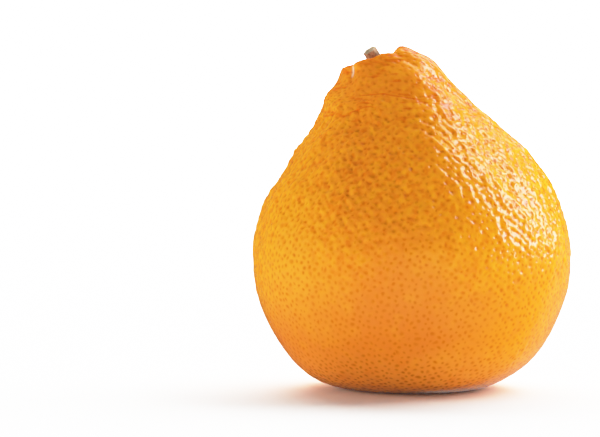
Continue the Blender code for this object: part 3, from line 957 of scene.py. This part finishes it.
# Layers of colour over PEEL_MIDDLE, from the lowest up. After its colour each has the factors of its share: a
# map, a number, or an S-shaped step along a map, with where it starts and ends and its values there.
LAYERS = (
    (PEEL_RED, ("patches", 0.30, 0.52, 0.6, 0.0)),
    (PEEL_YELLOW, ("patches", 0.50, 0.75, 0.0, 0.7)),
    # Painted light: a yellow glow over the left side of the body, where light from the left falls.
    (PEEL_PAINTED_GLOW, ("X", -10.0 * MM, -30.0 * MM, 0.0, 1.0), ("Z", 8.0 * MM, 32.0 * MM, 0.0, 1.0), 0.8),
    # Painted light: yellower towards the right side, which the softboxes light.
    (PEEL_PAINTED_LIT_SIDE, ("X", 4.0 * MM, 26.0 * MM, 0.0, 0.85)),
    # Painted light: paler towards the bottom, for light that the white table throws back up.
    (PEEL_PAINTED_BOUNCE_LIGHT, ("Z", 14.0 * MM, 1.0 * MM, 0.0, 1.0)),
    # The shoulder's yellower peel and painted light on it, stronger towards the lit right side.
    (PEEL_PEBBLED_AND_PAINTED_LIGHT, "pebbling", ("X", -20.0 * MM, 25.0 * MM, 0.35, 0.9)),
    (PEEL_RED, ("flecks", 0.50, 0.78, 0.0, 0.45)),
    (PEEL_YELLOW, ("flecks", 0.48, 0.25, 0.0, 0.45)),
    (
        GLAND_DOT,
        ("from gland", 0.10 * MM, 0.66 * MM, 1.0, 0.0),
        ("gland_tone", 0.0, 1.0, 0.70, 1.0),
        ("pebbling", 0.1, 0.8, 1.0, 0.65),
    ),
    # Painted shade: darker in the pits and wrinkles, the deeper they are.
    (PIT_PAINTED_SHADE, "hollow", 0.15),
    (PEEL_DEEP_AND_SHADE, ("blotches", 0.50, 0.68, 0.0, 0.38), "pebbling"),
    (PEEL_VEIN, ("blotches", 0.50, 0.32, 0.0, 0.38), "pebbling"),
    # Painted shade along the neck's creases, and the neck's own darker level marks.
    (PEEL_DEEP_AND_SHADE, "streaks", 0.7),
    # Painted shade in the furrows.
    (PEEL_DEEP_AND_SHADE, ("furrow", 0.25, 1.0, 0.0, 0.65)),
    # Painted shade in the crater.
    (PEEL_DEEP_AND_SHADE, "crater", 0.75),
    # Painted highlight: a pale line down the rim, left of the front.
    (HIGHLIGHT_LINE_PALE, "split", 0.9),
    (SCAR_BROWN, "scar"),
)

# The factors of the other shares and heights, in the same way.
STREAKS = (("level marks", 0.54, 0.68, 0.0, 1.0), ("Z", 58.0 * MM, 68.0 * MM, 0.0, 1.0))
# The neck's creases: painted shade along them in the colour, and grooves in the bump.
CREASES = (("from crease", 0.08 * MM, 0.40 * MM, 1.0, 0.0), "crease_strength")
WAX_GRAIN = ("wax grain", ("pebbling", 0.0, 0.8, 0.3 * WAX_GRAIN_HEIGHT, WAX_GRAIN_HEIGHT))
HOLES = (("from gland", 0.1 * MM, 0.6 * MM, -HOLE_DEPTH, 0.0), ("pebbling", 0.0, 0.6, 0.25, 1.0))
ROUGHNESS = (("pebbling", 0.0, 1.0, 0.15, 0.06),)

# %% [markdown]
# What is finer than the grid is a bump: the grain of the wax, a hole over each gland, and streaks on the
# neck, which are level marks and the creases there. The gloss is sharper on the shoulder, so that each small
# peak mirrors the softboxes by itself.

# %% The peel's material


def make_peel_material():
    """Citrus peel, lightly waxed: layers of colour over a soft, glossy body.

    The height of its bump is the grain plus the holes less the streaks.
    """
    material = bpy.data.materials.new("waxed satsuma peel")
    material.use_nodes = True
    tree = material.node_tree
    shader = tree.nodes["Principled BSDF"]
    place = add_node(tree, "ShaderNodeTexCoord").outputs["Object"]
    sockets = {0: place, 1: (1.0, 1.0, STREAK_STRETCH)}
    squeezed = add_node(tree, "ShaderNodeVectorMath", sockets, operation="MULTIPLY").outputs[0]
    maps = dict(add_node(tree, "ShaderNodeSeparateXYZ", {0: place}).outputs.items())
    for name in CARRIED:
        maps[name] = add_node(tree, "ShaderNodeAttribute", attribute_name=name).outputs["Fac"]
    for name, (length, detail) in NOISES.items():
        where = squeezed if name == "level marks" else place
        sockets = {"Vector": where, "Scale": 1.0 / length, "Detail": detail}
        maps[name] = add_node(tree, "ShaderNodeTexNoise", sockets).outputs["Fac"]
    sockets = {0: add_node(tree, "ShaderNodeAttribute", attribute_name="gland_offset").outputs["Vector"]}
    maps["from gland"] = add_node(tree, "ShaderNodeVectorMath", sockets, operation="LENGTH").outputs["Value"]
    sockets = {0: maps["crease_apart"]}
    maps["from crease"] = add_node(tree, "ShaderNodeMath", sockets, operation="ABSOLUTE").outputs[0]

    def product(*factors):
        """All factors multiplied, each one given as in the layers."""
        total = None
        for factor in factors:
            if isinstance(factor, str):
                factor = maps[factor]
            if isinstance(factor, tuple):
                sockets = dict(enumerate([maps[factor[0]], *factor[1:]]))
                step = add_node(tree, "ShaderNodeMapRange", sockets, interpolation_type="SMOOTHSTEP")
                factor = step.outputs[0]
            if total is None:
                total = factor
            else:
                sockets = {0: total, 1: factor}
                total = add_node(tree, "ShaderNodeMath", sockets, operation="MULTIPLY").outputs[0]
        return total

    sockets = {0: product(*STREAKS), 1: product(*CREASES)}
    maps["streaks"] = add_node(tree, "ShaderNodeMath", sockets, operation="MAXIMUM").outputs[0]
    colour = linear(PEEL_MIDDLE)
    for code, *factors in LAYERS:
        sockets = {0: product(*factors), 6: colour, 7: linear(code)}
        colour = add_node(tree, "ShaderNodeMix", sockets, data_type="RGBA").outputs[2]
    tree.links.new(colour, shader.inputs["Base Color"])

    sockets = {0: product(*WAX_GRAIN), 1: product(*HOLES)}
    height = add_node(tree, "ShaderNodeMath", sockets, operation="ADD").outputs[0]
    sockets = {0: maps["streaks"], 1: -STREAK_DEPTH, 2: height}
    height = add_node(tree, "ShaderNodeMath", sockets, operation="MULTIPLY_ADD").outputs[0]
    bump = add_node(tree, "ShaderNodeBump", {"Height": height, "Distance": 1.0, "Strength": 1.0}).outputs[0]
    tree.links.new(bump, shader.inputs["Normal"])
    tree.links.new(product(*ROUGHNESS), shader.inputs["Roughness"])
    shader.inputs["IOR"].default_value = 1.45
    shader.inputs["Subsurface Weight"].default_value = 0.12
    shader.inputs["Subsurface Radius"].default_value = (1.0, 0.35, 0.08)
    shader.inputs["Subsurface Scale"].default_value = 2.5 * MM
    return material


peel = add_piece("peel_surface", points, FACES, make_peel_material())
carry_gland_facts(peel.data)
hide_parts("fruit")
print(f"peel: {len(peel.data.polygons)} faces, {[a.name for a in peel.data.attributes]}")

# %% [markdown]
# ## The button
#
# The calyx stays on the picked fruit as a small dry star with five blunt lobes, thin at the edge and grown
# thick in the middle, where the stalk stands. It is a polar grid: rings from the middle of its underside out
# over the edge and back across its top. Drying has left it with radial ribs and cracks, which are shape too.

# %% The seat in the crater
GAP = 0.3 * MM


def seated(points):
    """Takes points from the crater's own frame, with the middle of its level floor at 0, to the fruit's.

    That is a turn by the rim's slope about the level line square to the lean, and a shift to the floor.
    """
    floor = lean(np.array([[0.0, 0.0, RIM_HEIGHT - CRATER_DEPTH]]))[0] - CENTRE
    axis = np.array([-math.sin(LEAN_SIDE), math.cos(LEAN_SIDE), 0.0])
    turned = (
        points * math.cos(RIM_SLOPE)
        + np.cross(axis, points) * math.sin(RIM_SLOPE)
        + (points @ axis)[:, None] * axis * (1.0 - math.cos(RIM_SLOPE))
    )
    return turned + floor


def closed_rings(rings, first, last):
    """Points and faces of rings, shape (rings, round, 3), joined in order, with a point to close each end."""
    count, around, _ = rings.shape
    number = np.arange(count * around).reshape(count, around)
    after = np.roll(number, -1, axis=1)
    walls = np.stack([number[:-1], after[:-1], after[1:], number[1:]], axis=-1).reshape(-1, 4)
    low, high = count * around, count * around + 1
    bottom = np.stack([np.full(around, low), after[0], number[0]], axis=-1)
    top = np.stack([np.full(around, high), number[-1], after[-1]], axis=-1)
    corners = np.concatenate([rings.reshape(-1, 3), [first], [last]])
    return corners, walls.tolist() + bottom.tolist() + top.tolist()


# %% The button's shape and finish
CALYX_RADIUS = 3.4 * MM
CALYX_LOBES = 5
CALYX_LOBE_DEPTH = 0.13
CALYX_EDGE = 0.5 * MM
CALYX_HEIGHT = 1.1 * MM
CALYX_ROUND = 200
CALYX_COLOURS = ("6E6136", "8E7F4C", "4A3A1E")
CALYX_GRAIN = (1.6 * MM, 0.35 * MM)

# Rings of the button. Underside and dome: how many, and their first and last share of the outline. Between
# them, over the edge: each ring's share of the outline and of the edge's thickness.
UNDERSIDE = (8, 0.15, 0.96)
OVER_EDGE = ((0.99, 0.3), (1.0, 0.55), (0.995, 0.8))
DOME = (30, 0.97, 0.12)
DOME_FLAT = 0.42
EDGE_FADE = (1.0, 0.85)
MIDDLE_FADE = (0.15, 0.4)

# Ripples of an outline: how many round, share of the radius, and phase.
CALYX_RIPPLES = ((13.0, 0.02, 1.0), (29.0, 0.012, 0.0))
RIBS = 40.0
RIB_BEND = 2.0
RIB_HEIGHT = 0.035 * MM
CRACK_SIDES = (14.0, 66.0, 122.0, 175.0, 233.0, 266.0, 322.0)
CRACK_DEPTH = 0.16 * MM
CRACK_WIDTH = math.radians(3.5)


def rippled(side, ripples):
    """1 plus a few sines of the side."""
    return 1.0 + sum(height * np.sin(count * side + phase) for count, height, phase in ripples)


def calyx_rings():
    """Rings of the button: shares of the lobed outline against heights, with ribs and cracks on its dome.

    The outline is the radius times 1 - d + d cos(5 side). Ribs are a cosine of 40 times the side, bent a
    little, and cracks are Gaussian dips at a few sides. Both fade towards the middle and the edge.
    """
    side = np.linspace(0.0, TURN, CALYX_ROUND, endpoint=False)
    edge = CALYX_RADIUS * (1.0 - CALYX_LOBE_DEPTH + CALYX_LOBE_DEPTH * np.cos(CALYX_LOBES * side))
    edge = edge * rippled(side, CALYX_RIPPLES)
    under, dome = (np.linspace(first, last, count) for count, first, last in (UNDERSIDE, DOME))
    over_edge, thickness = np.array(OVER_EDGE).T
    rise = CALYX_EDGE + (CALYX_HEIGHT - CALYX_EDGE) * smoothstep(1.0, DOME_FLAT, dome)
    share = np.concatenate([under, over_edge, dome])[:, None]
    heights = np.concatenate([np.zeros_like(under), thickness * CALYX_EDGE, rise])[:, None]
    on_dome = (np.arange(len(share)) >= len(share) - len(dome))[:, None]
    on_dome = on_dome * smoothstep(*EDGE_FADE, share) * smoothstep(*MIDDLE_FADE, share)
    ribs = RIB_HEIGHT * np.cos(RIBS * side + RIB_BEND * np.sin(3.0 * side))
    cracks = np.zeros_like(side)
    for degrees in CRACK_SIDES:
        cracks -= CRACK_DEPTH * np.exp(-((angle_from(side, degrees) / CRACK_WIDTH) ** 2))
    level = np.minimum(GAP + heights + on_dome * (ribs + cracks), GAP + CALYX_HEIGHT)
    out = share * edge
    return np.stack([out * np.cos(side), out * np.sin(side), level], axis=-1)


DRY_SPREAD = (0.35, 0.65)
DRY_SPECKS = (0.5, 0.7)
DRY_SHARE = 0.8


def make_dry_material(name, colours, lengths, bump, roughness, paler_top=()):
    """Dried plant skin, matt all over, with a bump of fine noise.

    The second colour spreads over the first where coarse noise is high, and the third makes specks where fine
    noise is. For a paler top, one more colour takes over between two heights.
    """
    material = bpy.data.materials.new(name)
    material.use_nodes = True
    tree = material.node_tree
    shader = tree.nodes["Principled BSDF"]
    place = add_node(tree, "ShaderNodeTexCoord").outputs["Object"]
    coarse, fine = (
        add_node(
            tree, "ShaderNodeTexNoise", {"Vector": place, "Scale": 1.0 / length, "Detail": 4.0}
        ).outputs["Fac"]
        for length in lengths
    )
    first, second, third = (linear(code) for code in colours)
    sockets = {0: coarse, 1: DRY_SPREAD[0], 2: DRY_SPREAD[1]}
    spread = add_node(tree, "ShaderNodeMapRange", sockets).outputs[0]
    colour = add_node(tree, "ShaderNodeMix", {0: spread, 6: first, 7: second}, data_type="RGBA").outputs[2]
    sockets = {0: fine, 1: DRY_SPECKS[0], 2: DRY_SPECKS[1], 4: DRY_SHARE}
    specks = add_node(tree, "ShaderNodeMapRange", sockets).outputs[0]
    colour = add_node(tree, "ShaderNodeMix", {0: specks, 6: colour, 7: third}, data_type="RGBA").outputs[2]
    if paler_top:
        code, low, high = paler_top
        level = add_node(tree, "ShaderNodeSeparateXYZ", {0: place}).outputs["Z"]
        upper = add_node(tree, "ShaderNodeMapRange", {0: level, 1: low, 2: high, 4: DRY_SHARE}).outputs[0]
        sockets = {0: upper, 6: colour, 7: linear(code)}
        colour = add_node(tree, "ShaderNodeMix", sockets, data_type="RGBA").outputs[2]
    height = add_node(tree, "ShaderNodeMath", {0: fine, 1: bump}, operation="MULTIPLY").outputs[0]
    normal = add_node(tree, "ShaderNodeBump", {"Height": height, "Distance": 1.0}).outputs[0]
    tree.links.new(colour, shader.inputs["Base Color"])
    tree.links.new(normal, shader.inputs["Normal"])
    shader.inputs["Roughness"].default_value = roughness
    shader.inputs["Specular IOR Level"].default_value = 0.3
    return material


rings = calyx_rings()
corners, faces = closed_rings(rings, (0.0, 0.0, GAP), (0.0, 0.0, GAP + CALYX_HEIGHT))
dried_calyx = make_dry_material("dried calyx", CALYX_COLOURS, CALYX_GRAIN, bump=0.06 * MM, roughness=0.75)
calyx = add_piece("calyx_star", seated(corners), faces, dried_calyx)
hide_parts("calyx")
print(f"button: {len(calyx.data.polygons)} faces")

# %% [markdown]
# ## The cut stalk
#
# What is left of the stalk is a stub 3 mm long, ribbed and flared at its foot, cut with snips on a slope. Its
# bark is dry and brown with dark specks, and paler towards its top, where the cut is and the pith has shrunk
# below the wood. It is again rings, each one a circle with six ribs, and the cut's slope grows with the
# height, so that the rings stay in order up to the slanted top.

# %% The stalk
STEM_RADIUS = 1.5 * MM
STEM_LENGTH = 3.1 * MM
STEM_LEAN = 0.9 * MM
STEM_RIBS = 6
STEM_RIB_DEPTH = 0.07
STEM_FLARE = 0.28
STEM_FLARE_HEIGHT = 0.8 * MM
CUT_SLOPE = math.radians(24.0)
CUT_SIDE = math.radians(-125.0)
PITH_DEPTH = 0.35 * MM
PITH_FADE = (0.72, 0.35)
STEM_RIPPLES = ((31.0, 0.012, 0.0), (47.0, 0.01, 1.3))
STEM_FOOT = 2.0 * GAP + CALYX_HEIGHT
CUT_ROUGH = 0.05 * MM
STEM_ROUND = 120
STEM_RINGS = 40

# Rings of the cut's face: how many, and their first and last share of the radius.
CUT_RINGS = (14, 0.97, 0.12)

# The bark: three colours, a paler one for its top, the lengths of its coarse and fine grain, and from how far
# below the stub's top to how far above it the paler one takes over.
BARK_COLOURS = ("80684C", "A68E6E", "44382C")
BARK_PALER_TOP = "C6B496"
BARK_GRAIN = (0.9 * MM, 0.3 * MM)
PALER_BELOW_TOP = 1.3 * MM
PALER_ABOVE_TOP = 0.1 * MM


def stem_rings():
    """Rings of the stub, from its foot up over the cut's edge and into the pith.

    Radius: 1 + 0.07 cos(6 side), with fine fibres, times a flare that dies away up the stub. Height: its
    share of the length, less that share of the cut's slope. The same share of its lean shifts it sideways.
    The face of the cut is roughened by a sine that winds inwards.
    """
    side = np.linspace(0.0, TURN, STEM_ROUND, endpoint=False)
    ribbed = STEM_RADIUS * (rippled(side, STEM_RIPPLES) + STEM_RIB_DEPTH * np.cos(STEM_RIBS * side))
    share = np.linspace(0.0, 1.0, STEM_RINGS)[:, None]
    out = ribbed * (1.0 + STEM_FLARE * np.exp(-share * STEM_LENGTH / STEM_FLARE_HEIGHT))
    level = STEM_FOOT + share * STEM_LENGTH - share * math.tan(CUT_SLOPE) * out * np.cos(side - CUT_SIDE)
    count, outermost, innermost = CUT_RINGS
    inward = np.linspace(outermost, innermost, count)[:, None]
    wood = inward * ribbed
    sunk = PITH_DEPTH * smoothstep(*PITH_FADE, inward)
    rough = CUT_ROUGH * np.sin(9.0 * side + 5.0 * inward) * smoothstep(outermost, 0.8, inward)
    cut = STEM_FOOT + STEM_LENGTH - math.tan(CUT_SLOPE) * wood * np.cos(side - CUT_SIDE) - sunk + rough
    out = np.concatenate([out, wood])
    level = np.concatenate([level, cut])
    aside = STEM_LEAN * np.concatenate([share, np.ones_like(inward)])
    x = out * np.cos(side) + aside * math.cos(LEAN_SIDE)
    y = out * np.sin(side) + aside * math.sin(LEAN_SIDE)
    return np.stack([x, y, level], axis=-1)


rings = stem_rings()
pith = rings[-1].mean(axis=0)
pith[2] = STEM_FOOT + STEM_LENGTH - PITH_DEPTH
corners, faces = closed_rings(rings, (0.0, 0.0, STEM_FOOT), pith)
top = seated(np.array([[0.0, 0.0, STEM_FOOT + STEM_LENGTH]]))[0, 2]
paler_top = (BARK_PALER_TOP, top - PALER_BELOW_TOP, top + PALER_ABOVE_TOP)
dry_bark = make_dry_material("dry citrus bark", BARK_COLOURS, BARK_GRAIN, 0.09 * MM, 0.8, paler_top)
stem = add_piece("stalk_stub", seated(corners), faces, dry_bark)
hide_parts("stem")
print(f"stalk: {len(stem.data.polygons)} faces")
